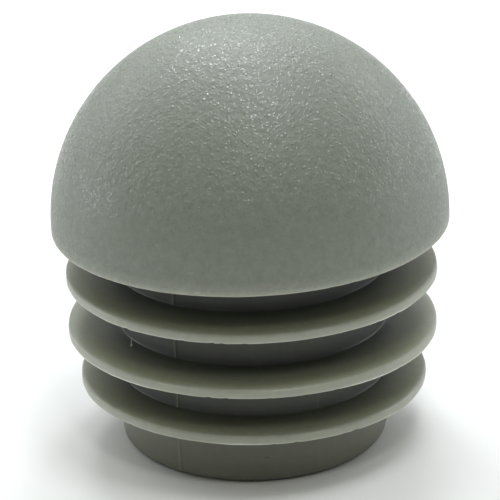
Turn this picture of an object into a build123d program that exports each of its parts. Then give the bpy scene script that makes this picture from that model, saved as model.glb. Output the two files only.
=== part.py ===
from build123d import *
import os
from math import radians, tan

# Domed end cap for a round tube, injection moulded in one piece of soft polyethylene.
#
# The hemispherical head rests on the sawn end of the tube. The hollow stem below it goes into the
# bore, where three thin disc fins bend a little and grip the wall.
#
# Frame: millimetres, +Z up along the axis of the cap. The origin is the centre of the seat, the
# flat ring under the head that meets the tube's end. The head is above it and the stem below.
#
# The cap is a body of revolution, so the whole of it is one half-section: X of the sketch is the
# radius and Y is the height.

# Head
TUBE_DIAMETER = 32.0
HEAD_RADIUS = TUBE_DIAMETER / 2
LAND_HEIGHT = 0.65
LIP_ROUND = 0.25

# Stem
STEM_RADIUS = 11.1
STEM_LENGTH = 18.2
STEM_DRAFT = 0.8
FOOT_ROUND = 0.8
SEAT_FILLET = 0.5

# Fins, from the one nearest the head to the one that enters the tube first
FIN_RADII = (15.0, 15.0, 14.1)
FIN_PITCH = 4.5
FIRST_FIN_DEPTH = 3.9
FIN_RIM_THICKNESS = 0.72
FIN_ROOT_THICKNESS = 1.25
FIN_RIM_ROUND = 0.16
FIN_ROOT_FILLET = 0.3

# Core, the hollow that opens at the foot and runs up into the head
STEM_WALL = 1.9
CORE_DRAFT = 1.0
CROWN_WALL = 2.4
CORE_FILLET = 2.5
MOUTH_ROUND = 0.35

# How far below the core's top a corner has to be to count as its shoulder
TOUCH = 0.01


def stem_radius_at(height):
    return STEM_RADIUS + height * tan(radians(STEM_DRAFT))


def fin_corners(index):
    """Radius, height and round of a fin's corners, from its upper root round the rim to its lower root."""
    middle = -FIRST_FIN_DEPTH - index * FIN_PITCH
    root = stem_radius_at(middle)
    rim = FIN_RADII[index]
    return [
        (root, middle + FIN_ROOT_THICKNESS / 2, FIN_ROOT_FILLET),
        (rim, middle + FIN_RIM_THICKNESS / 2, FIN_RIM_ROUND),
        (rim, middle - FIN_RIM_THICKNESS / 2, FIN_RIM_ROUND),
        (root, middle - FIN_ROOT_THICKNESS / 2, FIN_ROOT_FILLET),
    ]


def outer_section():
    """Half-section of the cap without its core: sphere, land, seat, finned stem and foot."""
    corners = [(HEAD_RADIUS, 0, LIP_ROUND), (STEM_RADIUS, 0, SEAT_FILLET)]
    for index in range(len(FIN_RADII)):
        corners += fin_corners(index)
    corners.append((stem_radius_at(-STEM_LENGTH), -STEM_LENGTH, FOOT_ROUND))
    path = [(HEAD_RADIUS, LAND_HEIGHT)] + [(x, y) for x, y, _ in corners] + [(0, -STEM_LENGTH)]
    outline = [
        CenterArc((0, LAND_HEIGHT), HEAD_RADIUS, 0, 90),
        FilletPolyline(*path, radius=[size for _, _, size in corners]),
        Line((0, -STEM_LENGTH), (0, LAND_HEIGHT + HEAD_RADIUS)),
    ]
    return make_face(outline)


def core_section():
    """Drafted core from the foot up to the crown, where it follows the sphere of the head."""
    mouth_radius = stem_radius_at(-STEM_LENGTH) - STEM_WALL
    crown_radius = HEAD_RADIUS - CROWN_WALL
    top = LAND_HEIGHT + crown_radius
    top_radius = mouth_radius - (STEM_LENGTH + top) * tan(radians(CORE_DRAFT))
    corners = [(0, -STEM_LENGTH), (mouth_radius, -STEM_LENGTH), (top_radius, top), (0, top)]
    core_pin = make_face(Polyline(*corners, close=True))
    crown = Pos(0, LAND_HEIGHT) * Circle(crown_radius)
    below_crown = Pos(0, LAND_HEIGHT - STEM_LENGTH) * Rectangle(2 * crown_radius, 2 * STEM_LENGTH)
    core = core_pin & (crown + below_crown)
    shoulder = core.vertices().filter_by_position(Axis.Y, 0, top - TOUCH)
    return fillet(shoulder, CORE_FILLET)


def end_cap():
    """The revolved cap, with the mouth of its core rounded last."""
    cap = revolve(Plane.XZ * outer_section(), Axis.Z) - revolve(Plane.XZ * core_section(), Axis.Z)
    foot_rings = cap.edges().filter_by(GeomType.CIRCLE).group_by(Axis.Z)[0]
    return fillet(foot_rings.sort_by(SortBy.RADIUS)[0], MOUTH_ROUND)


os.makedirs("parts", exist_ok=True)
export_step(end_cap(), "parts/end_cap.step")
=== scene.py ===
# %% [markdown]
# # Domed tube end cap
#
# A soft polyethylene cap that closes the sawn end of a round tube. It is one injection moulding: a
# hemispherical head with a spark-eroded grain, a hollow stem, and three thin disc fins that grip the
# bore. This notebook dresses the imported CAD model. The CAD holds the size and the fit, and the
# cells below give the moulding its grain, its mould marks, its finish and its light.

# %% Load the frame
import math

import bpy
import numpy as np
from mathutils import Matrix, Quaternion, Vector


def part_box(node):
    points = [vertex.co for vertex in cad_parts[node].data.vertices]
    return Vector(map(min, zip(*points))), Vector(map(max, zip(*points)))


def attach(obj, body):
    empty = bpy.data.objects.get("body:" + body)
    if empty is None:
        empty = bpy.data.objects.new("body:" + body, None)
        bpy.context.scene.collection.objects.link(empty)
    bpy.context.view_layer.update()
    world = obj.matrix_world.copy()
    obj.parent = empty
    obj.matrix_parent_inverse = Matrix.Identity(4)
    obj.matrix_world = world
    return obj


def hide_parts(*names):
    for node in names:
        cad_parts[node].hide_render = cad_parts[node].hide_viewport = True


# The frame's unit is the metre
MM = 0.001

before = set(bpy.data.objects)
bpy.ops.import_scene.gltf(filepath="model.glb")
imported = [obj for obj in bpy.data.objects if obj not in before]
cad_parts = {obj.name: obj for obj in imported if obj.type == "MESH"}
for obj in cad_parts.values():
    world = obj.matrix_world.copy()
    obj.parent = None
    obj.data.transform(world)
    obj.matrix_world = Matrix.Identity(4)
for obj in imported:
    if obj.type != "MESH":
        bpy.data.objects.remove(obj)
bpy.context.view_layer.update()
low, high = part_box("end_cap")
print("CAD box in mm:", [round(size / MM, 2) for size in high - low])

# %% [markdown]
# ## Sizes
#
# The head, the foot and the seat come from the frame: the seat's face is at zero height, so the box of
# the CAD node gives the head's radius, its top and the foot. The stem and the core have the CAD's own
# dimensions. The fins are a real cap's and not quite the drawing's: two of them sit a little off
# their pitch, the upper edge of a rim is rounder than the lower one, and the root fillets are tighter.
# Sizes are in millimetres, and they become metres where points and nodes are made.

# %% Sizes
HEAD_RADIUS = (high.x - low.x) / 2 / MM
HEAD_TOP = high.z / MM
LAND_HEIGHT = HEAD_TOP - HEAD_RADIUS
FOOT = low.z / MM

LIP_ROUND = 0.25
SEAT_FILLET = 0.5
STEM_RADIUS = 11.1
STEM_DRAFT = math.radians(0.8)
STEM_WALL = 1.9
FOOT_ROUND = 0.8
MOUTH_ROUND = 0.35
CORE_DRAFT = math.radians(1.0)
CORE_FILLET = 2.5
CROWN_WALL = 2.4
FIN_RADII = (15.0, 15.0, 14.1)
FIN_HEIGHTS = (-3.9, -8.51, -12.86)
FIN_RIM = 0.72
FIN_ROOT = 1.25
UPPER_RIM_ROUND, LOWER_RIM_ROUND = 0.3, 0.1
FIN_ROOT_FILLET = 0.12
print("head radius", round(HEAD_RADIUS, 3), "land", round(LAND_HEIGHT, 3), "foot", round(FOOT, 3))

# %% [markdown]
# ## The half-section
#
# The mould for such a cap is turned, so the cap is a body of revolution and its shape is one outline.
# It could be drawn as a curve object by hand, but a list of corners, each with the radius of its
# round, is how a toolmaker would dimension it. Such an outline is made of arcs and straight runs, and
# both are cut into steps, so that the grain and the mould marks have points to move.

# %% Arcs and runs
LONGEST_STEP = 2.4


def arc(centre, radius, start, end, steps):
    """Points of an arc, from one angle to another."""
    angles = [start + (end - start) * i / steps for i in range(steps + 1)]
    return [centre + radius * Vector((math.cos(a), math.sin(a))) for a in angles]


def split_run(start, end):
    """Points from start towards end, without the end itself."""
    steps = max(1, math.ceil((end - start).length / LONGEST_STEP))
    return [start.lerp(end, i / steps) for i in range(steps)]


print("a run of 10 mm has", len(split_run(Vector((0, 0)), Vector((10, 0)))), "steps")

# %% [markdown]
# A round touches both sides of its corner, so its centre lies on the line that halves the corner, and
# the half angle and the radius give all the rest. A Bevel modifier would need a weight on each corner,
# where here its radius is written beside it. A corner with no radius stays sharp, and a very small
# round gets fewer steps.

# %% Outline with rounds
ROUND_STEPS = 4
SMALL_ROUND = 0.2
SMALL_ROUND_STEPS = 3


def round_corner(before, corner, after, radius):
    """The points of the arc that rounds one corner of an outline."""
    back = (before - corner).normalized()
    ahead = (after - corner).normalized()
    half = back.angle(ahead) / 2
    middle = corner + (back + ahead).normalized() * radius / math.sin(half)
    first = corner + back * radius / math.tan(half) - middle
    last = corner + ahead * radius / math.tan(half) - middle
    start = math.atan2(first.y, first.x)
    sweep = math.remainder(math.atan2(last.y, last.x) - start, math.tau)
    steps = SMALL_ROUND_STEPS if radius < SMALL_ROUND else ROUND_STEPS
    return arc(middle, radius, start, start + sweep, steps)


def outline(corners):
    """Points along a chain of (radius, height, round) corners, first and last kept as they are."""
    at = [Vector((x, y)) for x, y, _ in corners]
    bends = [[at[0]]]
    for i in range(1, len(corners) - 1):
        size = corners[i][2]
        bends.append(round_corner(at[i - 1], at[i], at[i + 1], size) if size else [at[i]])
    bends.append([at[-1]])
    points = []
    for bend, following in zip(bends, bends[1:]):
        points += bend[:-1] + split_run(bend[-1], following[0])
    return points + [at[-1]]


print("a round has", ROUND_STEPS, "steps, or", SMALL_ROUND_STEPS, "under", SMALL_ROUND, "mm")

# %% [markdown]
# The core is the hollow that a steel pin leaves in the stem. Its wall is drafted so that the pin
# comes out, and its top follows the head's sphere, which keeps the crown at an even thickness and
# free of sinks. A round joins the two. Its centre lies one round inside the wall, which gives its
# radius from its height, and one round inside the sphere, which gives its height from its radius.
# Taking the two in turn settles on the centre, with no equation to solve.

# %% Core
CORE_STEPS = 4
CROWN_STEPS = 6
SETTLING_TURNS = 9


def stem_radius_at(height):
    """Radius of the stem, which its draft narrows towards the foot."""
    return STEM_RADIUS + height * math.tan(STEM_DRAFT)


def core_radius_at(height):
    """Radius of the core, which its draft narrows on the way up."""
    return mouth_radius - (height - FOOT) * math.tan(CORE_DRAFT)


mouth_radius = stem_radius_at(FOOT) - STEM_WALL
crown_radius = HEAD_RADIUS - CROWN_WALL
sphere_centre = Vector((0, LAND_HEIGHT))
shoulder = Vector((0, crown_radius / 2))
for _ in range(SETTLING_TURNS):
    shoulder.x = core_radius_at(shoulder.y) - CORE_FILLET
    shoulder.y = LAND_HEIGHT + math.sqrt((crown_radius - CORE_FILLET) ** 2 - shoulder.x**2)

crown_start = math.atan2(shoulder.y - LAND_HEIGHT, shoulder.x)
core_round = arc(shoulder, CORE_FILLET, CORE_DRAFT, crown_start, CORE_STEPS)
crown = arc(sphere_centre, crown_radius, crown_start, math.pi / 2, CROWN_STEPS)
print("core: radius", round(mouth_radius, 2), "at its mouth, and its round's centre at")
print([round(size, 2) for size in shoulder], "mm from the axis and the seat")

# %% [markdown]
# The section runs down the dome and the outside, round the foot, and up the core to the axis. A fin is
# a thin disc that tapers from its root to its rim, so that it bends near the rim and stays firm at the
# root. The dome has many rows, because part of its grain is real relief. It starts below a polar cap
# that is made apart, since rows of points that all meet at the pole would pinch the grain there. In the
# core, where there is no grain and nobody looks, the last point does lie on the axis.

# %% Half-section of the cap
POLAR_CAP = math.radians(40)
DOME_ROWS = 66


def fin_corners(rim, middle):
    """Corners of one fin, from its upper root round the rim to its lower root."""
    root = stem_radius_at(middle)
    return [
        (root, middle + FIN_ROOT / 2, FIN_ROOT_FILLET),
        (rim, middle + FIN_RIM / 2, UPPER_RIM_ROUND),
        (rim, middle - FIN_RIM / 2, LOWER_RIM_ROUND),
        (root, middle - FIN_ROOT / 2, FIN_ROOT_FILLET),
    ]


dome = arc(sphere_centre, HEAD_RADIUS, math.pi / 2 - POLAR_CAP, 0, DOME_ROWS)
corners = [(HEAD_RADIUS, LAND_HEIGHT, 0), (HEAD_RADIUS, 0, LIP_ROUND), (STEM_RADIUS, 0, SEAT_FILLET)]
for rim, middle in zip(FIN_RADII, FIN_HEIGHTS):
    corners += fin_corners(rim, middle)
corners += [(stem_radius_at(FOOT), FOOT, FOOT_ROUND), (mouth_radius, FOOT, MOUTH_ROUND)]
corners.append((core_round[0].x, core_round[0].y, 0))
below = outline(corners)
section = dome[:-1] + below[:-1] + core_round[:-1] + crown
section[-1].x = 0
print("half-section:", len(section), "points,", len(below), "of them from the land to the core's wall")

# %% [markdown]
# Thin rims and outer edges of this plastic look paler than its thick parts, because light goes in on
# one side and out on the other, and the gaps between the fins lie in shade. Both are painted into the
# colour. So each point of the section also carries a number, its nearness to an exposed edge: 1 on the
# lip or on the rim of a fin, and 0 from the root of a fin inwards. It falls evenly along a fin, so it is
# also exact between the points, and the finishes below turn it into colour: painted light near 1 and
# painted shade near 0. The foot is a plain wall with no fin behind it, and it is given about a third,
# a painted light that keeps it paler than the stem between the fins.

# %% Nearness to an edge
EDGE_REACH = FIN_RADII[0] - STEM_RADIUS
# A painted light on the foot, given as a nearness
FOOT_PAINTED_LIGHT = 0.33
exposed = [Vector((rim, middle - FIN_RIM / 2)) for rim, middle in zip(FIN_RADII, FIN_HEIGHTS)]
exposed.append(Vector((HEAD_RADIUS, 0)))
distances = [min((point - edge).length for edge in exposed) for point in section]
nearness = [max(0, 1 - distance / EDGE_REACH) for distance in distances]
last_fin_underside = FIN_HEIGHTS[-1] - FIN_ROOT / 2
for i, point in enumerate(section):
    if point.y < last_fin_underside and point.x > mouth_radius:
        nearness[i] = max(nearness[i], FOOT_PAINTED_LIGHT)
print("nearness runs from", min(nearness), "to", round(max(nearness), 3))

# %% [markdown]
# ## Two helpers
#
# Geometry and materials are both built from nodes. One function adds a node, sets its options, and
# fills its sockets with plain values or with other nodes' outputs. The other turns a colour as it is
# picked on a screen into the numbers that Blender works in.

# %% Add a node, and read a colour
def add(tree, kind, inputs=(), **options):
    """Adds a node. inputs lists its values in order, or maps socket names to them. A value may be a
    plain one, a socket to link, or a node, which stands for its first output."""
    node = tree.nodes.new(kind)
    for name, value in options.items():
        setattr(node, name, value)
    for key, value in inputs.items() if isinstance(inputs, dict) else enumerate(inputs):
        if isinstance(value, bpy.types.Node):
            value = value.outputs[0]
        if isinstance(value, bpy.types.NodeSocket):
            tree.links.new(value, node.inputs[key])
        else:
            node.inputs[key].default_value = value
    return node


def linear(code):
    """An sRGB hex colour as the linear colour that Blender works in."""
    parts = [int(code[i : i + 2], 16) / 255 for i in (1, 3, 5)]
    return [p / 12.92 if p <= 0.04045 else ((p + 0.055) / 1.055) ** 2.4 for p in parts] + [1]


print("#808080 in linear light is", [round(part, 3) for part in linear("#808080")])

# %% [markdown]
# ## Finishes
#
# The cap is low-density polyethylene, coloured mid grey with a trace of green through and through.
# The plastic is the same everywhere, and what differs is the steel it was pressed against. Two things
# change its colour. A ramp turns nearness to an edge into colour: it paints light, paler towards an
# edge, for the light that comes through the thin rims and the lip, and paints shade, darker in towards
# the stem, for the shade in the gaps between the fins. And pigment never mixes quite evenly, so a soft
# noise, the mottle, lightens it here and darkens it there. An image could hold both, but it would need
# a map, and would blur close up.

# %% Colour of the plastic
PLASTIC = "#7f8479"
MOTTLE_WIDTH = 0.65 * MM
# Nearly all of the noise lies between these
NOISE_LOW, NOISE_HIGH = 0.3, 0.7


def pigment_and_painted_light(tree, place, tones, unevenness):
    """The plastic's colour, with painted light and painted shade from its nearness to an edge. tones are
    pairs of nearness and sRGB colour, and unevenness is the share by which the mottle changes them."""
    edge = add(tree, "ShaderNodeAttribute", attribute_name="nearness").outputs["Fac"]
    # The ramp paints light towards an edge and shade in towards the stem
    ramp = add(tree, "ShaderNodeValToRGB", [edge])
    stops = ramp.color_ramp.elements
    stops[0].position, stops[-1].position = tones[0][0], tones[-1][0]
    for share, _ in tones[1:-1]:
        stops.new(share)
    for stop, (_, code) in zip(stops, tones):
        stop.color = linear(code)
    mottle = add(
        tree,
        "ShaderNodeTexNoise",
        {"Vector": place, "Scale": 1 / MOTTLE_WIDTH, "Detail": 3.0, "Roughness": 0.7},
    )
    lightest, darkest = 1 + unevenness, 1 - unevenness
    shade = add(tree, "ShaderNodeMapRange", [mottle, NOISE_LOW, NOISE_HIGH, darkest, lightest])
    return add(tree, "ShaderNodeVectorMath", {"Vector": ramp, "Scale": shade}, operation="SCALE")


print("plastic", PLASTIC, "with a mottle", round(MOTTLE_WIDTH / MM, 2), "mm wide")

# %% [markdown]
# One function builds the bare plastic, and each finish adds its own skin to it. It is a Principled
# shader with a little subsurface light, since polyethylene is milky: light goes in, spreads, and comes
# out beside where it went in. Glass-like transmission would be wrong, because nothing can be seen
# through the cap.

# %% Plastic
PLASTIC_IOR = 1.51
MILKY_SHARE = 0.3
MILKY_DEPTH = 0.5 * MM
# Red light goes further through it than blue
MILKY_SPREAD = (1.0, 0.9, 0.6)


def polyethylene(name, roughness, tones, unevenness):
    """Bare polyethylene: its material, tree, shader, place in Object coordinates and colour."""
    material = bpy.data.materials.new(name)
    material.use_nodes = True
    tree = material.node_tree
    place = add(tree, "ShaderNodeTexCoord").outputs["Object"]
    colour = pigment_and_painted_light(tree, place, tones, unevenness)
    shader = tree.nodes["Principled BSDF"]
    tree.links.new(colour.outputs[0], shader.inputs["Base Color"])
    shader.inputs["Roughness"].default_value = roughness
    shader.inputs["IOR"].default_value = PLASTIC_IOR
    shader.inputs["Subsurface Weight"].default_value = MILKY_SHARE
    shader.inputs["Subsurface Radius"].default_value = MILKY_SPREAD
    shader.inputs["Subsurface Scale"].default_value = MILKY_DEPTH
    return material, tree, shader, place, colour


print("light spreads about", round(MILKY_DEPTH / MM, 2), "mm in it")

# %% [markdown]
# A patch is a small part of the cap that is painted paler or darker than the plastic around it: a
# lighter patch or fleck on the head, or the painted shade and painted highlight of a dent in the foot.
# It could be painted in an image, but then the cap would need a map. So it is measured: the distance
# from the patch's middle, with its own size along each axis of the cap, sets its shade, which is full
# near the middle and fades out past the edge.

# %% A patch
# Shares of the patch's half size
PATCH_FULL, PATCH_GONE = 0.5, 1.3


def with_patch(tree, place, colour, centre, size, shade):
    """The colour, with a paler or darker patch in it. centre and size are in millimetres, shade
    multiplies the colour.
    """
    middle = [c * MM for c in centre]
    from_middle = add(tree, "ShaderNodeVectorMath", [place, middle], operation="SUBTRACT")
    half_sizes = [2 / (d * MM) for d in size]
    shares = add(tree, "ShaderNodeVectorMath", [from_middle, half_sizes], operation="MULTIPLY")
    distance = add(tree, "ShaderNodeVectorMath", [shares], operation="LENGTH").outputs["Value"]
    strength = add(tree, "ShaderNodeMapRange", [distance, PATCH_FULL, PATCH_GONE, shade, 1.0])
    return add(tree, "ShaderNodeVectorMath", {"Vector": colour, "Scale": strength}, operation="SCALE")


print("a scuff is full within", PATCH_FULL, "and gone at", PATCH_GONE, "of its half size")

# %% [markdown]
# The cavity of the head was spark eroded, which leaves overlapping craters about a sixth of a
# millimetre in radius, and the head comes out covered in as many low pips. There are some twenty
# thousand of them, too many to model one by one, so they are bump. Voronoi cells set out the pips, and
# a random number for each cell sets its height.

# %% Pips of the head
PIP_SPACING = 0.27 * MM
PIP_RADIUS = 0.155 * MM
PIP_HEIGHT = 0.044 * MM
# Roughness of the skin between the pips, and of the pips
DULL, GLINTING = 0.55, 0.2
# Nearness to the lip and colour: plain down to the last millimetre or so, then paler, a painted light
# along the lip's edge
HEAD_TONES = [(0.68, PLASTIC), (0.87, "#8c9084"), (0.93, "#9a9d90"), (0.97, "#a4a699")]
HEAD_UNEVENNESS = 0.09

# Spark-eroded polyethylene is dull and sandy, and glints where a pip faces a light
eroded, tree, shader, place, colour = polyethylene(
    "spark_eroded_polyethylene", DULL, HEAD_TONES, HEAD_UNEVENNESS
)
cells = add(tree, "ShaderNodeTexVoronoi", {"Vector": place, "Scale": 1 / PIP_SPACING})
chance = add(tree, "ShaderNodeSeparateXYZ", [cells.outputs["Color"]])
pip = add(
    tree,
    "ShaderNodeMapRange",
    {"Value": cells, "From Min": PIP_RADIUS / PIP_SPACING, "From Max": 0.0},
    interpolation_type="SMOOTHSTEP",
)
print("pips", round(PIP_SPACING / MM, 2), "mm apart and up to", round(PIP_HEIGHT / MM, 3), "mm high")

# %% [markdown]
# Near the seat the wall of the head is almost upright, and the cavity drags along it as the cap comes
# out, so the grain is shallower there. Its depth could be painted too, but height alone decides it.
# Noise roughens the skin between the pips, and the two together are the relief.

# %% Relief of the head
GRIT_WIDTH = 0.48 * MM
GRIT_HEIGHT = 0.085 * MM
SHALLOW_SHARE = 0.25
SHALLOW_BELOW, FULL_ABOVE = 4 * MM, 7.5 * MM

height = add(tree, "ShaderNodeSeparateXYZ", [place]).outputs["Z"]
depth = add(tree, "ShaderNodeMapRange", [height, SHALLOW_BELOW, FULL_ABOVE, SHALLOW_SHARE])
full_pip = add(tree, "ShaderNodeMath", [pip, depth], operation="MULTIPLY")
uneven_pip = add(tree, "ShaderNodeMath", [full_pip, chance], operation="MULTIPLY")
pip_relief = add(tree, "ShaderNodeMath", [uneven_pip, PIP_HEIGHT], operation="MULTIPLY")
grit = add(tree, "ShaderNodeTexNoise", {"Vector": place, "Scale": 1 / GRIT_WIDTH, "Detail": 1.0})
grit_height = add(tree, "ShaderNodeMath", [depth, GRIT_HEIGHT], operation="MULTIPLY")
grain = add(tree, "ShaderNodeMath", [grit, grit_height, pip_relief], operation="MULTIPLY_ADD")
grain_bump = add(tree, "ShaderNodeBump", {"Height": grain, "Distance": 1.0, "Strength": 1.0})
tree.links.new(grain_bump.outputs[0], shader.inputs["Normal"])
print("grain: full above", FULL_ABOVE / MM, "mm,", SHALLOW_SHARE, "of it below", SHALLOW_BELOW / MM, "mm")

# %% [markdown]
# The pips touched the hot steel last and hardest. They are glossier than the dull skin between them, so
# each one shows a glint where it faces a light, and they are painted a little paler as well, a painted
# glint. Gloss and colour both follow the pips' own height, which keeps them in place on the relief.

# %% Gloss and colour of the head
PIP_PAINTED_GLINT = 1.25
# Shares of a pip's height at which its gloss and its painted glint are full
FULL_GLOSS, FULL_PAINTED_GLINT = 0.3, 0.5
# Centre and size in millimetres, and shade: a paler patch low on the front, and a lighter fleck on the
# lip
HEAD_PATCHES = [
    ((-4.6, -15.3, 1.8), (0.5, 1, 0.25), 1.22),
    ((-4.1, -15.4, 0.3), (0.45, 1, 0.14), 1.25),
]

gloss = add(tree, "ShaderNodeMapRange", [full_pip, 0.0, FULL_GLOSS, DULL, GLINTING])
# Painted glint: the colour is raised towards the top of each pip
paler = add(tree, "ShaderNodeMapRange", [uneven_pip, 0.0, FULL_PAINTED_GLINT, 1.0, PIP_PAINTED_GLINT])
colour = add(tree, "ShaderNodeVectorMath", {"Vector": colour, "Scale": paler}, operation="SCALE")
for centre, size, shade in HEAD_PATCHES:
    colour = with_patch(tree, place, colour, centre, size, shade)
tree.links.new(gloss.outputs[0], shader.inputs["Roughness"])
tree.links.new(colour.outputs[0], shader.inputs["Base Color"])
print(eroded.name, "has", len(tree.nodes), "nodes and", len(HEAD_PATCHES), "scuffs")

# %% [markdown]
# The cavities of the stem and the fins were turned on a lathe and stoned, so those have a waxy satin
# skin with faint streaks that run round the cap. Anisotropic gloss would give the sheen and not the
# streaks. So a streak is a noise that changes fast with height and with distance from the axis, and
# slowly along the other ways. Four-dimensional noise takes both: the height goes in with the place,
# and the distance as the fourth number.

# %% Satin stem and fins
SATIN = 0.42
# Nearness and colour: painted shade dark on the stem between the fins, painted light paler and warmer out
# along a fin, and a painted highlight palest in a crest of flash
SATIN_TONES = [
    (0.1, "#565851"),
    (0.22, "#64665b"),
    (0.45, "#787869"),
    (0.68, "#8a8d76"),
    (0.78, "#969a85"),
    (0.82, "#9fa192"),
    (0.95, "#a2a597"),
    (0.985, "#b0b1a3"),
    (1.0, "#dcddd0"),
]
SATIN_UNEVENNESS = 0.05
# Real turning marks are a few hundredths of a millimetre wide, so they are drawn coarser, to show
STREAK_WIDTH = 0.16 * MM
STREAK_LENGTH = 5 * MM
STREAK_HEIGHT = 0.012 * MM

# Satin polyethylene is waxy, and has a broad soft sheen
satin, tree, shader, place, colour = polyethylene(
    "satin_polyethylene", SATIN, SATIN_TONES, SATIN_UNEVENNESS
)
streak_scale = (1 / STREAK_LENGTH, 1 / STREAK_LENGTH, 1 / STREAK_WIDTH)
up_the_wall = add(tree, "ShaderNodeVectorMath", [place, streak_scale], operation="MULTIPLY")
level = add(tree, "ShaderNodeVectorMath", [place, (1, 1, 0)], operation="MULTIPLY")
from_axis = add(tree, "ShaderNodeVectorMath", [level], operation="LENGTH").outputs["Value"]
across_the_fin = add(tree, "ShaderNodeMath", [from_axis, STREAK_WIDTH], operation="DIVIDE")
streak = add(
    tree,
    "ShaderNodeTexNoise",
    {"Vector": up_the_wall, "W": across_the_fin, "Scale": 1.0, "Detail": 2.0},
    noise_dimensions="4D",
)
streaks = add(tree, "ShaderNodeMath", [streak, STREAK_HEIGHT], operation="MULTIPLY")
streak_bump = add(tree, "ShaderNodeBump", {"Height": streaks, "Distance": 1.0, "Strength": 1.0})
tree.links.new(streak_bump.outputs[0], shader.inputs["Normal"])
print("streaks", round(STREAK_WIDTH / MM, 2), "mm wide and", round(STREAK_LENGTH / MM, 1), "mm long")

# %% [markdown]
# The foot enters the tube first and has met an edge: it has a small dent low on its front, which has no
# relief of its own. Its shade is painted dark where the plastic was pushed in, and a painted highlight
# lies on the burr beside it. Two patches draw it, a wide dark one and a short light one at its end.

# %% Painted shade of a dent in the foot
# Centre and size in millimetres, and shade: the painted shade of the dent, then a painted highlight on
# its burr
DENT_SHADE_AND_HIGHLIGHT = [
    ((0.9, -10.85, -15.9), (0.5, 1, 0.11), 0.5),
    ((1.15, -10.85, -15.88), (0.12, 1, 0.12), 1.7),
]

for centre, size, shade in DENT_SHADE_AND_HIGHLIGHT:
    colour = with_patch(tree, place, colour, centre, size, shade)
tree.links.new(colour.outputs[0], shader.inputs["Base Color"])
print(satin.name, "has", len(tree.nodes), "nodes and", len(DENT_SHADE_AND_HIGHLIGHT), "scuffs")

# %% [markdown]
# ## Turning the section into the cap
#
# A Screw modifier would turn the outline, but it gathers all its faces in a needle-sharp fan at the
# top of the dome, where the grain would smear. So a tree of Geometry Nodes does it in two parts, a
# wall and a polar cap, and adds a whisker of plastic. The tree's sizes and finishes are its named
# inputs, so that another cap could be turned with the same tree.

# %% Inputs of the lathe tree
COLUMNS = 480
GRAIN_SWELL = 0.008 * MM
GRAIN_SWELL_PITCH = 0.8 * MM
WHISKER_FOOT = Vector((-9.65, -6.53, -8.02)) * MM
WHISKER_LENGTH = 0.75 * MM

lathe = bpy.data.node_groups.new("cap_lathe", "GeometryNodeTree")
lathe.is_modifier = True
settings = {
    # name: kind of socket, and its value. The section is the mesh that the modifier stands on.
    "Section": ("NodeSocketGeometry", None),
    "Columns": ("NodeSocketInt", COLUMNS),
    "Head Radius": ("NodeSocketFloat", HEAD_RADIUS * MM),
    "Land Height": ("NodeSocketFloat", LAND_HEIGHT * MM),
    "Polar Cap": ("NodeSocketFloat", POLAR_CAP),
    "Grain Swell": ("NodeSocketFloat", GRAIN_SWELL),
    "Grain Pitch": ("NodeSocketFloat", GRAIN_SWELL_PITCH),
    "Whisker Foot": ("NodeSocketVector", WHISKER_FOOT),
    "Whisker Length": ("NodeSocketFloat", WHISKER_LENGTH),
    "Head Finish": ("NodeSocketMaterial", eroded),
    "Stem Finish": ("NodeSocketMaterial", satin),
}
for name, (kind, _) in settings.items():
    lathe.interface.new_socket(name, in_out="INPUT", socket_type=kind)
lathe.interface.new_socket("Cap", in_out="OUTPUT", socket_type="NodeSocketGeometry")
given = add(lathe, "NodeGroupInput").outputs
position = add(lathe, "GeometryNodeInputPosition")
print("lathe tree:", len(settings), "inputs")

# %% [markdown]
# The wall is everything but the top of the dome. It starts as a flat grid with a column for each step of
# the turn and a row for each point of the section, and the grid is rolled up: each of its points takes
# the radius and height of its row's point in the section, and is turned by its column. The last
# column lands on the first, and the two merge later.

# %% Wall
rows = add(lathe, "GeometryNodeAttributeDomainSize", {"Geometry": given["Section"]}).outputs[0]
columns_and_seam = add(lathe, "ShaderNodeMath", [given["Columns"], 1], operation="ADD")
sheet = add(lathe, "GeometryNodeMeshGrid", {"Vertices X": columns_and_seam, "Vertices Y": rows})
index = add(lathe, "GeometryNodeInputIndex")
row = add(lathe, "ShaderNodeMath", [index, rows], operation="MODULO")
full_columns = add(lathe, "ShaderNodeMath", [index, rows], operation="DIVIDE")
column = add(lathe, "ShaderNodeMath", [full_columns], operation="FLOOR")
column_step = add(lathe, "ShaderNodeMath", [math.tau, given["Columns"]], operation="DIVIDE")
turn = add(lathe, "ShaderNodeMath", [column, column_step], operation="MULTIPLY")
section_point = add(
    lathe, "GeometryNodeSampleIndex", [given["Section"], position, row], data_type="FLOAT_VECTOR"
)
turned_point = add(
    lathe,
    "ShaderNodeVectorRotate",
    {"Vector": section_point, "Angle": turn},
    rotation_type="Z_AXIS",
)
rolled = add(lathe, "GeometryNodeSetPosition", {"Geometry": sheet, "Position": turned_point})
print("wall:", COLUMNS, "columns and", len(section), "rows")

# %% [markdown]
# The rolled sheet loses what the section carried, so its nearness to an edge is read from the section
# too, row by row, and stored again. Its faces point inwards after rolling, and are flipped.

# %% Nearness on the wall
nearness_there = add(lathe, "GeometryNodeInputNamedAttribute", {"Name": "nearness"})
row_nearness = add(lathe, "GeometryNodeSampleIndex", [given["Section"], nearness_there, row])
toned = add(
    lathe,
    "GeometryNodeStoreNamedAttribute",
    {"Geometry": rolled, "Name": "nearness", "Value": row_nearness},
)
wall = add(lathe, "GeometryNodeFlipFaces", [toned])
print("lathe tree:", len(lathe.nodes), "nodes")

# %% [markdown]
# The polar cap is the top of the dome. It is a square grid, pressed into a round one ring by ring, so
# it has no fan of needle-sharp faces, and its rim has one point for each column of the wall. A point's
# ring is its larger coordinate, and its bearing is its smaller one as a share of the larger, times an
# eighth of a turn. The square runs from -1 to 1 both ways.

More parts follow.
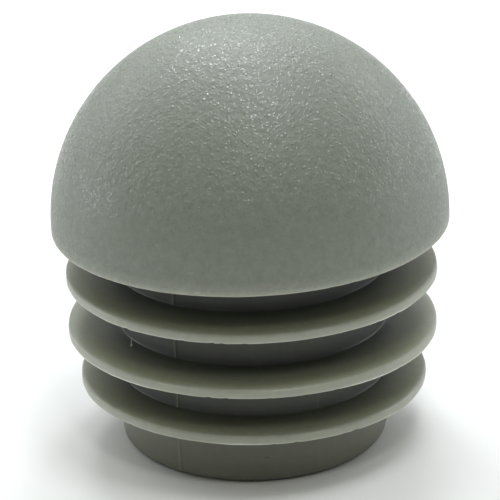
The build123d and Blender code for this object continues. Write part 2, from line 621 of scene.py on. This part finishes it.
# %% Rings of the polar cap
quarter = add(lathe, "ShaderNodeMath", [given["Columns"], 4], operation="DIVIDE")
side_points = add(lathe, "ShaderNodeMath", [quarter, 1], operation="ADD")
square = add(
    lathe,
    "GeometryNodeMeshGrid",
    {"Size X": 2, "Size Y": 2, "Vertices X": side_points, "Vertices Y": side_points},
)
in_square = add(lathe, "ShaderNodeSeparateXYZ", [position])
east, north = in_square.outputs["X"], in_square.outputs["Y"]
unsigned = add(lathe, "ShaderNodeVectorMath", [position], operation="ABSOLUTE")
reach = add(lathe, "ShaderNodeSeparateXYZ", [unsigned])
more_east = add(
    lathe, "FunctionNodeCompare", [reach.outputs["X"], reach.outputs["Y"]], operation="GREATER_EQUAL"
)
ring = add(lathe, "GeometryNodeSwitch", [more_east, north, east], input_type="FLOAT")
along_ring = add(lathe, "GeometryNodeSwitch", [more_east, east, north], input_type="FLOAT")
slant = add(lathe, "ShaderNodeMath", [along_ring, ring], operation="DIVIDE")
from_east = add(lathe, "ShaderNodeMath", [slant, math.pi / 4], operation="MULTIPLY")
from_north = add(lathe, "ShaderNodeMath", [math.pi / 2, from_east], operation="SUBTRACT")
swing = add(lathe, "GeometryNodeSwitch", [more_east, from_north, from_east], input_type="FLOAT")
print("polar cap:", COLUMNS // 4, "faces along each side of its square")

# %% [markdown]
# Each point is then put on the sphere: a pointer from the sphere's centre to the pole is tipped by the
# ring's angle and swung to the point's bearing. The sine of half the angle grows evenly from ring to
# ring, as on an equal-area map, so the faces are all of about one size.

# %% Polar cap
half_cap = add(lathe, "ShaderNodeMath", [given["Polar Cap"], 0.5], operation="MULTIPLY")
rim_sine = add(lathe, "ShaderNodeMath", [half_cap], operation="SINE")
ring_sine = add(lathe, "ShaderNodeMath", [ring, rim_sine], operation="MULTIPLY")
half_tip = add(lathe, "ShaderNodeMath", [ring_sine], operation="ARCSINE")
tip = add(lathe, "ShaderNodeMath", [half_tip, 2], operation="MULTIPLY")
pole = add(lathe, "ShaderNodeCombineXYZ", {"Z": given["Head Radius"]})
tipped = add(
    lathe, "ShaderNodeVectorRotate", {"Vector": pole, "Angle": tip}, rotation_type="Y_AXIS"
)
swung = add(
    lathe, "ShaderNodeVectorRotate", {"Vector": tipped, "Angle": swing}, rotation_type="Z_AXIS"
)
centre_of_sphere = add(lathe, "ShaderNodeCombineXYZ", {"Z": given["Land Height"]})
on_dome = add(lathe, "ShaderNodeVectorMath", [swung, centre_of_sphere], operation="ADD")
polar_cap = add(lathe, "GeometryNodeSetPosition", {"Geometry": square, "Position": on_dome})
print("polar cap ends", round(math.degrees(POLAR_CAP)), "degrees from the pole")

# %% [markdown]
# The whisker is a hair of plastic that was drawn out as the mould opened. It stands on the middle fin,
# thick at its foot and then thin up to its tip. A line with a circle swept along it is all it needs, and
# its foot lies a little inside the fin, so that no gap shows. Being thin all through, it takes the full
# tone of an edge, a painted light for the light that comes through it.

# %% Whisker
WHISKER_RADII = (0.1 * MM, 0.03 * MM)
# Shares of its length between which it narrows
WHISKER_TAPER = (0.25, 0.4)
WHISKER_POINTS = 9
WHISKER_SIDES = 6

rise = add(lathe, "ShaderNodeCombineXYZ", {"Z": given["Whisker Length"]})
whisker_tip = add(lathe, "ShaderNodeVectorMath", [given["Whisker Foot"], rise], operation="ADD")
hair = add(
    lathe, "GeometryNodeCurvePrimitiveLine", {"Start": given["Whisker Foot"], "End": whisker_tip}
)
hair_points = add(lathe, "GeometryNodeResampleCurve", {"Curve": hair, "Count": WHISKER_POINTS})
hair_circle = add(
    lathe, "GeometryNodeCurvePrimitiveCircle", {"Resolution": WHISKER_SIDES, "Radius": 1.0}
)
along_hair = add(lathe, "GeometryNodeSplineParameter")
hair_radius = add(lathe, "ShaderNodeMapRange", [along_hair, *WHISKER_TAPER, *WHISKER_RADII])
hair_skin = add(
    lathe,
    "GeometryNodeCurveToMesh",
    {"Curve": hair_points, "Profile Curve": hair_circle, "Scale": hair_radius, "Fill Caps": True},
)
# Nearness 1 gives the whisker the painted light of an edge
whisker = add(
    lathe,
    "GeometryNodeStoreNamedAttribute",
    {"Geometry": hair_skin, "Name": "nearness", "Value": 1.0},
)
print("whisker", round(WHISKER_LENGTH / MM, 2), "mm long and", WHISKER_RADII[1] / MM, "mm in radius")

# %% [markdown]
# The three parts become one skin. The seam of the wall, its points on the axis, and the joint between
# the wall and the polar cap close where their points merge, and the skin shades smooth across them.

# %% One skin
WELD_DISTANCE = 0.002 * MM

parts = add(lathe, "GeometryNodeJoinGeometry", [wall])
for part in (polar_cap, whisker):
    lathe.links.new(part.outputs[0], parts.inputs[0])
skin = add(lathe, "GeometryNodeMergeByDistance", {"Geometry": parts, "Distance": WELD_DISTANCE})
smooth = add(lathe, "GeometryNodeSetShadeSmooth", [skin])
print("lathe tree:", len(lathe.nodes), "nodes")

# %% [markdown]
# The head is what lies on its sphere or its land, above the seat. It could be a separate piece, but one
# moulding has no joint there, so it is only told apart: a point belongs to the head where it is as far
# from the sphere's centre as the outer skin, and no lower than the seat.

# %% The head's share of the skin
# The share of the head's radius past which a point is on its outer skin and not in its core
OUTER_SKIN = 0.98
# The seat's own points lie lower than this
SEAT_MARGIN = 0.05 * MM

from_centre = add(lathe, "ShaderNodeVectorMath", [position, centre_of_sphere], operation="SUBTRACT")
distance = add(lathe, "ShaderNodeVectorMath", [from_centre], operation="LENGTH").outputs["Value"]
skin_radius = add(lathe, "ShaderNodeMath", [given["Head Radius"], OUTER_SKIN], operation="MULTIPLY")
on_sphere = add(lathe, "ShaderNodeMath", [distance, skin_radius], operation="GREATER_THAN")
above_centre = add(lathe, "ShaderNodeSeparateXYZ", [from_centre]).outputs["Z"]
seat = add(lathe, "ShaderNodeMath", [SEAT_MARGIN, given["Land Height"]], operation="SUBTRACT")
above_seat = add(lathe, "ShaderNodeMath", [above_centre, seat], operation="GREATER_THAN")
on_head = add(lathe, "ShaderNodeMath", [on_sphere, above_seat], operation="MULTIPLY")
print("lathe tree:", len(lathe.nodes), "nodes")

# %% [markdown]
# An eroded mould is a little wavy under its craters. Bump is enough for the craters, but the waves are
# real relief, so that the light wavers over the head from any side. A noise moves each point of the
# head in or out along its own normal. The tree then ends with its finishes, the satin one everywhere
# and the eroded one on the head.

# %% Swell of the grain, and finishes
pitch_scale = add(lathe, "ShaderNodeMath", [1, given["Grain Pitch"]], operation="DIVIDE")
lumps = add(lathe, "ShaderNodeTexNoise", {"Vector": position, "Scale": pitch_scale})
in_or_out = add(lathe, "ShaderNodeMath", [lumps, 0.5], operation="SUBTRACT")
swell = add(lathe, "ShaderNodeMath", [given["Grain Swell"], 2], operation="MULTIPLY")
lift = add(lathe, "ShaderNodeMath", [in_or_out, swell], operation="MULTIPLY")
head_lift = add(lathe, "ShaderNodeMath", [lift, on_head], operation="MULTIPLY")
normal = add(lathe, "GeometryNodeInputNormal")
outward = add(
    lathe, "ShaderNodeVectorMath", {"Vector": normal, "Scale": head_lift}, operation="SCALE"
)
grained = add(lathe, "GeometryNodeSetPosition", {"Geometry": smooth, "Offset": outward})
whole = add(lathe, "GeometryNodeRealizeInstances", [grained])
stem_finish = add(
    lathe, "GeometryNodeSetMaterial", {"Geometry": whole, "Material": given["Stem Finish"]}
)
head_finish = add(
    lathe,
    "GeometryNodeSetMaterial",
    {"Geometry": stem_finish, "Selection": on_head, "Material": given["Head Finish"]},
)
add(lathe, "NodeGroupOutput", [head_finish])
print("lathe tree:", len(lathe.nodes), "nodes in all")

# %% [markdown]
# The section goes in as a mesh of bare edges, with its nearness on its points. What comes out is made a
# plain mesh, and the modifiers go, because the marks of the mould below need points to move. Long thin
# faces beside tiny ones on a round would tilt its shading, so the normals are weighted by face size.

# %% Turn the section
drawing = bpy.data.meshes.new("half_section")
drawing_points = [(point.x * MM, 0, point.y * MM) for point in section]
drawing.from_pydata(drawing_points, [(i, i + 1) for i in range(len(section) - 1)], [])
drawing.attributes.new("nearness", "FLOAT", "POINT").data.foreach_set("value", nearness)
cap = bpy.data.objects.new("end_cap_moulding", drawing)
bpy.context.scene.collection.objects.link(cap)
turning = cap.modifiers.new("lathe", "NODES")
turning.node_group = lathe
for socket in lathe.interface.items_tree:
    if socket.in_out == "INPUT" and settings[socket.name][1] is not None:
        turning[socket.identifier] = settings[socket.name][1]
even_normals = cap.modifiers.new("even_normals", "WEIGHTED_NORMAL")
evaluated = cap.evaluated_get(bpy.context.evaluated_depsgraph_get())
cap_mesh = bpy.data.meshes.new_from_object(evaluated)
for done in (turning, even_normals):
    cap.modifiers.remove(done)
# The drawing has no material, and leaves an empty slot in front of the two finishes
if cap_mesh.materials[0] is None:
    cap_mesh.materials.pop(index=0)
cap.data = cap_mesh
print("cap:", len(cap_mesh.vertices), "points, finishes", cap_mesh.materials.keys())

# %% [markdown]
# A closed skin holds a volume. It is the sum of the thin pyramids from the origin to each triangle, and
# it comes out negative where the faces point inwards. Polyethylene weighs a little less than water, so
# the cap weighs a little fewer milligrams than it has cubic millimetres.

# %% Volume
def signed_volume(mesh):
    """Volume inside the faces, in cubic millimetres. It is negative where they face inwards."""
    mesh.calc_loop_triangles()
    mesh_points = np.array([v.co for v in mesh.vertices]) / MM
    triangles = np.array([t.vertices for t in mesh.loop_triangles])
    a, b, c = (mesh_points[triangles[:, i]] for i in range(3))
    return float(np.einsum("ij,ij->i", a, np.cross(b, c)).sum() / 6)


print("volume:", round(signed_volume(cap_mesh)), "mm3 in", len(cap_mesh.loop_triangles), "triangles")

# %% [markdown]
# ## What the mould leaves
#
# A real cap isn't as true as its drawing. The stem's cavity is closed by slides, and a fine ridge
# stands on the stem where they meet. Steel plates meet along the fins' rims, where a crest of flash
# comes and goes, and rims and lip pick up nicks when caps tumble into their box. Polyethylene also
# leaves the mould soft, so the head and each fin lean a little their own way as they cool. All are
# small moves of the finished points, and plain arrays are the shortest way to write them. They work
# in millimetres, with each point's distance from the axis and its bearing in degrees.

# %% Read the points
coordinates = np.empty(len(cap_mesh.vertices) * 3)
cap_mesh.vertices.foreach_get("co", coordinates)
x, y, z = coordinates.reshape(-1, 3).T / MM
# Nearness of each point, for the painted light and shade. The ridges and crests below raise it as painted
# highlights.
pale = np.empty(len(cap_mesh.vertices))
cap_mesh.attributes["nearness"].data.foreach_get("value", pale)
radius, bearing = np.hypot(x, y), np.degrees(np.arctan2(y, x))
column_of = np.rint(bearing % 360 * COLUMNS / 360).astype(int) % COLUMNS
print("points:", len(z), "and the lowest at", round(float(z.min()), 3), "mm")

# %% [markdown]
# Two slides close round the stem from opposite sides, so each ridge has a like one opposite. One pair
# is sharp and the other is worn and faint. A ridge is one column of points, raised, with the columns
# beside it drawn in close so that it stays narrow. It is also given a paler tone, a painted highlight
# where the fine ridge catches the light.

# %% Parting ridges
# Bearing of each ridge in degrees, and its share of the full height
RIDGES = {56.25: 1.0, 117.0: 0.3, 236.25: 1.0, 297.0: 0.3}
RIDGE_HEIGHT = 0.07
# From its top to its foot, in degrees round the cap
RIDGE_HALF_ANGLE = 0.4
RIDGE_HIGHLIGHT = 0.55
STEM_MARGIN = 0.05

column_angle = 360 / COLUMNS
stem = stem_radius_at(z)
on_stem = (z < -SEAT_FILLET) & (radius < stem + STEM_MARGIN) & (radius > stem - FOOT_ROUND / 2)
for ridge, share in RIDGES.items():
    off = (bearing - ridge + 180) % 360 - 180
    top = on_stem & (abs(off) < column_angle / 2)
    flanks = on_stem & ~top & (abs(off) < column_angle * 1.5)
    bearing[flanks] = ridge + np.sign(off[flanks]) * RIDGE_HALF_ANGLE
    radius[top] += RIDGE_HEIGHT * share
    # Painted highlight along the ridge
    pale[top] += (RIDGE_HIGHLIGHT - pale[top]) * share
    print("ridge at", ridge, "degrees:", top.sum(), "points raised")

# %% [markdown]
# Crests, waves and nicks come by chance, and each runs round the cap, so each is a list of one number
# for every column. A crest or a wave changes smoothly, in straight runs between random knots. A nick
# is one column wide, and half as deep in the next. The seed is fixed, so that each run of this notebook
# gives the same cap.

# %% Chance round the cap
SEED = 4313
NICKS = 18
NICK_DEPTHS = (0.02, 0.08)
generator = np.random.default_rng(SEED)


def around_the_cap(knots):
    """A number from 0 to 1 for each column. It changes smoothly between random knots."""
    at = generator.random(knots)
    return np.interp(np.arange(COLUMNS) * knots / COLUMNS, np.arange(knots + 1), [*at, at[0]])


def nicks_around():
    """A depth for each column: nought, save at a few nicks."""
    depths = np.zeros(COLUMNS)
    for column in generator.integers(COLUMNS, size=NICKS):
        depth = generator.uniform(*NICK_DEPTHS)
        depths[[column, column - 1]] = depth, depth / 2
    return depths


print("seed", SEED, "and up to", NICKS, "nicks to an edge")

# %% [markdown]
# Each rim has two edges, and each edge its own crest of flash, which pushes out the row or two of points
# where it stands and paints them with the full tone of an edge, a painted highlight along the crest.
# Slight waves then move the whole rim in and out, and nicks press its upper and lower edge towards each
# other.

# %% Rims of the fins
CREST_HEIGHT = 0.06
CREST_KNOTS = 26
# The share of an edge that has no crest, and how fast a crest rises from there
CREST_GAPS = 0.35
CREST_GAIN = 2
# Where a crest stands on its edge's round, as an angle from the level, and how near counts as there
UPPER_CREST_ANGLE, LOWER_CREST_ANGLE = math.radians(43), math.radians(29)
ON_CREST = 0.05
WAVE_HEIGHT = 0.018
WAVE_KNOTS = 96
TOUCH = 0.01

section_radius, section_height = radius.copy(), z.copy()
half_rim = FIN_RIM / 2
upper_edge = (1, UPPER_RIM_ROUND, UPPER_CREST_ANGLE)
lower_edge = (-1, LOWER_RIM_ROUND, LOWER_CREST_ANGLE)
for rim, middle in zip(FIN_RADII, FIN_HEIGHTS):
    for up, size, angle in (upper_edge, lower_edge):
        crest_radius = rim - size + size * math.cos(angle)
        crest_height = middle + up * (half_rim - size + size * math.sin(angle))
        off_crest = np.hypot(section_radius - crest_radius, section_height - crest_height)
        on_edge = off_crest < ON_CREST
        flash = np.clip(CREST_GAIN * (around_the_cap(CREST_KNOTS) - CREST_GAPS), 0, 1)[column_of]
        radius[on_edge] += CREST_HEIGHT * flash[on_edge]
        # Painted highlight on the crest
        pale[on_edge] += (1 - pale[on_edge]) * flash[on_edge]
        print("fin at", middle, "mm:", on_edge.sum(), "points on an edge")
    on_rim = (radius > rim - UPPER_RIM_ROUND) & (abs(z - middle) < half_rim + TOUCH)
    radius[on_rim] += (WAVE_HEIGHT * (2 * around_the_cap(WAVE_KNOTS) - 1))[column_of][on_rim]
    for up in (1, -1):
        nicked = on_rim & (up * (section_height - middle) > 0)
        z[nicked] -= up * nicks_around()[column_of][nicked]

# %% [markdown]
# The lip is the head's lower edge, just above the tube, and it catches knocks in the same way. Waves
# and nicks only push it up, so that the flat seat below it stays flat.

# %% Lip
above_the_seat = (section_height > -TOUCH) & (section_height < LIP_ROUND)
on_lip = above_the_seat & (radius > HEAD_RADIUS - LIP_ROUND)
z[on_lip] += (nicks_around() + WAVE_HEIGHT * around_the_cap(WAVE_KNOTS))[column_of][on_lip]
print("lip:", on_lip.sum(), "points")

# %% [markdown]
# Last comes the lean. A fin is thin and only tips, so its points move up on one side of the cap and down
# on the other. The stem between the fins follows them. The head tips as a whole about the centre of its
# sphere, so its points move sideways too, and its outline stays round.

# %% Lean
# Heights from the foot to the seat, and how far the cap rises there for each millimetre to the side
LEAN_HEIGHTS = (FOOT, FIN_HEIGHTS[2], FIN_HEIGHTS[1], FIN_HEIGHTS[0], 0)
LEANS = (0, -0.0119, -0.0040, 0.0058, 0.0163)

x, y = radius * np.cos(np.radians(bearing)), radius * np.sin(np.radians(bearing))
lean = np.interp(z, LEAN_HEIGHTS, LEANS)
sideways = np.where(z > 0, lean * (z - LAND_HEIGHT), 0)
x, z = x - sideways, z + lean * x
cap_mesh.vertices.foreach_set("co", (np.column_stack([x, y, z]) * MM).ravel())
cap_mesh.attributes["nearness"].data.foreach_set("value", pale)
cap_mesh.update()
print("head leans", round(math.degrees(LEANS[-1]), 2), "degrees, volume", round(signed_volume(cap_mesh)))

# %% Place in the frame
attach(cap, "root")
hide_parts("end_cap")
print("piece:", cap.name, "from", [round(v, 2) for v in (x.min(), y.min(), z.min())], "mm")

# %% [markdown]
# ## Camera
#
# A small product is best seen through a long lens from far off, so that its edges hardly converge and
# the fins stay level with each other. This camera stands 14 head radii away and 21 degrees above the
# seat. Two small turns about its own axes finish its aim: a roll, as a hand-held camera has, and a dip
# that centres the whole cap and not only its head.

# %% Camera
CAMERA_DISTANCE = 14 * HEAD_RADIUS * MM
# Angles in radians, and the lens in millimetres
CAMERA_ELEVATION = 0.3699
CAMERA_ROLL = -0.0244
CAMERA_DIP = -0.01334
CAMERA_LENS = 200.64
# In metres. Blender starts at 0.1, which would cut into the cap if the camera came close.
CLOSEST_VISIBLE = 0.01

target = Vector((0, 0, LAND_HEIGHT * MM))
towards_camera = Vector((0, -math.cos(CAMERA_ELEVATION), math.sin(CAMERA_ELEVATION)))
camera = bpy.data.objects.new("camera", bpy.data.cameras.new("camera"))
bpy.context.scene.collection.objects.link(camera)
bpy.context.scene.camera = camera
camera.data.lens = CAMERA_LENS
camera.data.clip_start = CLOSEST_VISIBLE
camera.location = target + towards_camera * CAMERA_DISTANCE
aim = (-towards_camera).to_track_quat("-Z", "Y")
roll = Quaternion((0, 0, 1), CAMERA_ROLL)
dip = Quaternion((1, 0, 0), CAMERA_DIP)
camera.rotation_mode = "QUATERNION"
camera.rotation_quaternion = aim @ roll @ dip
print("camera", round(CAMERA_DISTANCE / MM), "mm from the head's centre")

# %% [markdown]
# ## Studio
#
# The cap stands on a sheet of white paper, which is what a small product is shot on. A plane is enough,
# large enough that its edge is out of sight.

# %% Floor
FLOOR_COLOUR = "#ededeb"
FLOOR_ROUGHNESS = 0.9
# Half the floor's side, in metres
FLOOR_REACH = 1.5

floor_mesh = bpy.data.meshes.new("floor")
floor_corners = [
    (FLOOR_REACH * east_or_west, FLOOR_REACH * north_or_south, low.z)
    for east_or_west, north_or_south in ((-1, -1), (1, -1), (1, 1), (-1, 1))
]
floor_mesh.from_pydata(floor_corners, [], [(0, 1, 2, 3)])
floor = bpy.data.objects.new("floor", floor_mesh)
bpy.context.scene.collection.objects.link(floor)
# Matt white paper gives an even pale ground that takes a soft shadow and no reflection
paper = bpy.data.materials.new("matt_white_paper")
paper.use_nodes = True
paper_shader = paper.node_tree.nodes["Principled BSDF"]
paper_shader.inputs["Base Color"].default_value = linear(FLOOR_COLOUR)
paper_shader.inputs["Roughness"].default_value = FLOOR_ROUGHNESS
floor_mesh.materials.append(paper)
print("floor at", round(low.z / MM, 2), "mm")

# %% [markdown]
# The light is a tent of softboxes, all as far from the cap as each other. Dull, grainy plastic shows
# its shape by slow changes of tone, so the large boxes at the sides and the back set those. A large
# box also calms the grain, because each pip mirrors some part of it. Small boxes behind and overhead
# do the opposite, and make the pips glint in the middle of the head. The low ones reach under the
# head to the stem. The boxes in front are a shade warmer than the rest, as the light of a room is.

# %% Softboxes
SOFTBOXES = {
    # name: bearing and elevation in degrees, width and height in metres, watts
    "back_low": (180, 12, 0.3, 0.1, 0.11),
    "back_middle": (180, 38, 0.25, 0.06, 0.24),
    "back_high_left": (-163, 49, 0.07, 0.04, 0.26),
    "back_high_right": (168, 57, 0.08, 0.04, 0.19),
    "high_back": (180, 74, 0.12, 0.05, 0.24),
    "overhead": (40, 78, 0.09, 0.09, 0.43),
    "back_left": (-128, 20, 0.3, 0.2, 0.25),
    "back_right": (128, 20, 0.3, 0.2, 0.31),
    "high_left": (-135, 48, 0.5, 0.4, 0.52),
    "high_right": (135, 48, 0.5, 0.4, 0.39),
    "low_left": (-98, 6, 0.2, 0.1, 0.21),
    "low_right": (98, 6, 0.2, 0.1, 0.16),
    "front_left": (-62, 62, 0.4, 0.4, 0.27),
    "front_right": (62, 62, 0.4, 0.4, 0.19),
    "front": (8, 52, 0.05, 0.04, 0.17),
}
SOFTBOX_DISTANCE = 0.4
DAYLIGHT, WARMER = "#f7fbff", "#fafbf3"

for name, (bearing_angle, elevation, width, tall, watts) in SOFTBOXES.items():
    lamp = bpy.data.lights.new(name, "AREA")
    lamp.shape = "RECTANGLE"
    lamp.size, lamp.size_y, lamp.energy = width, tall, watts
    lamp.color = linear(WARMER if name.startswith("front") else DAYLIGHT)[:3]
    softbox = bpy.data.objects.new(name, lamp)
    bpy.context.scene.collection.objects.link(softbox)
    around, above = math.radians(bearing_angle), math.radians(elevation)
    level_reach = math.cos(above)
    direction = Vector((math.sin(around) * level_reach, -math.cos(around) * level_reach, math.sin(above)))
    softbox.location = direction * SOFTBOX_DISTANCE
    softbox.rotation_mode = "QUATERNION"
    softbox.rotation_quaternion = direction.to_track_quat("Z", "Y")
    softbox.visible_camera = False
print(len(SOFTBOXES), "softboxes,", round(sum(box[-1] for box in SOFTBOXES.values()), 2), "watts in all")

# %% [markdown]
# The walls of the room send back a little of that light from every side, and keep the deep gaps
# between the fins from going black. An even world, grey with a trace of blue, is enough for that. The
# Standard view keeps colours as they were picked, where the usual filmic one would grey the white
# paper.

# %% Room
ROOM_LIGHT = (0.088, 0.088, 0.09, 1)  # linear red, green and blue, and alpha

world = bpy.data.worlds.new("room")
world.use_nodes = True
world.node_tree.nodes["Background"].inputs["Color"].default_value = ROOM_LIGHT
bpy.context.scene.world = world
bpy.context.scene.view_settings.view_transform = "Standard"
print("room: light", ROOM_LIGHT[:3])
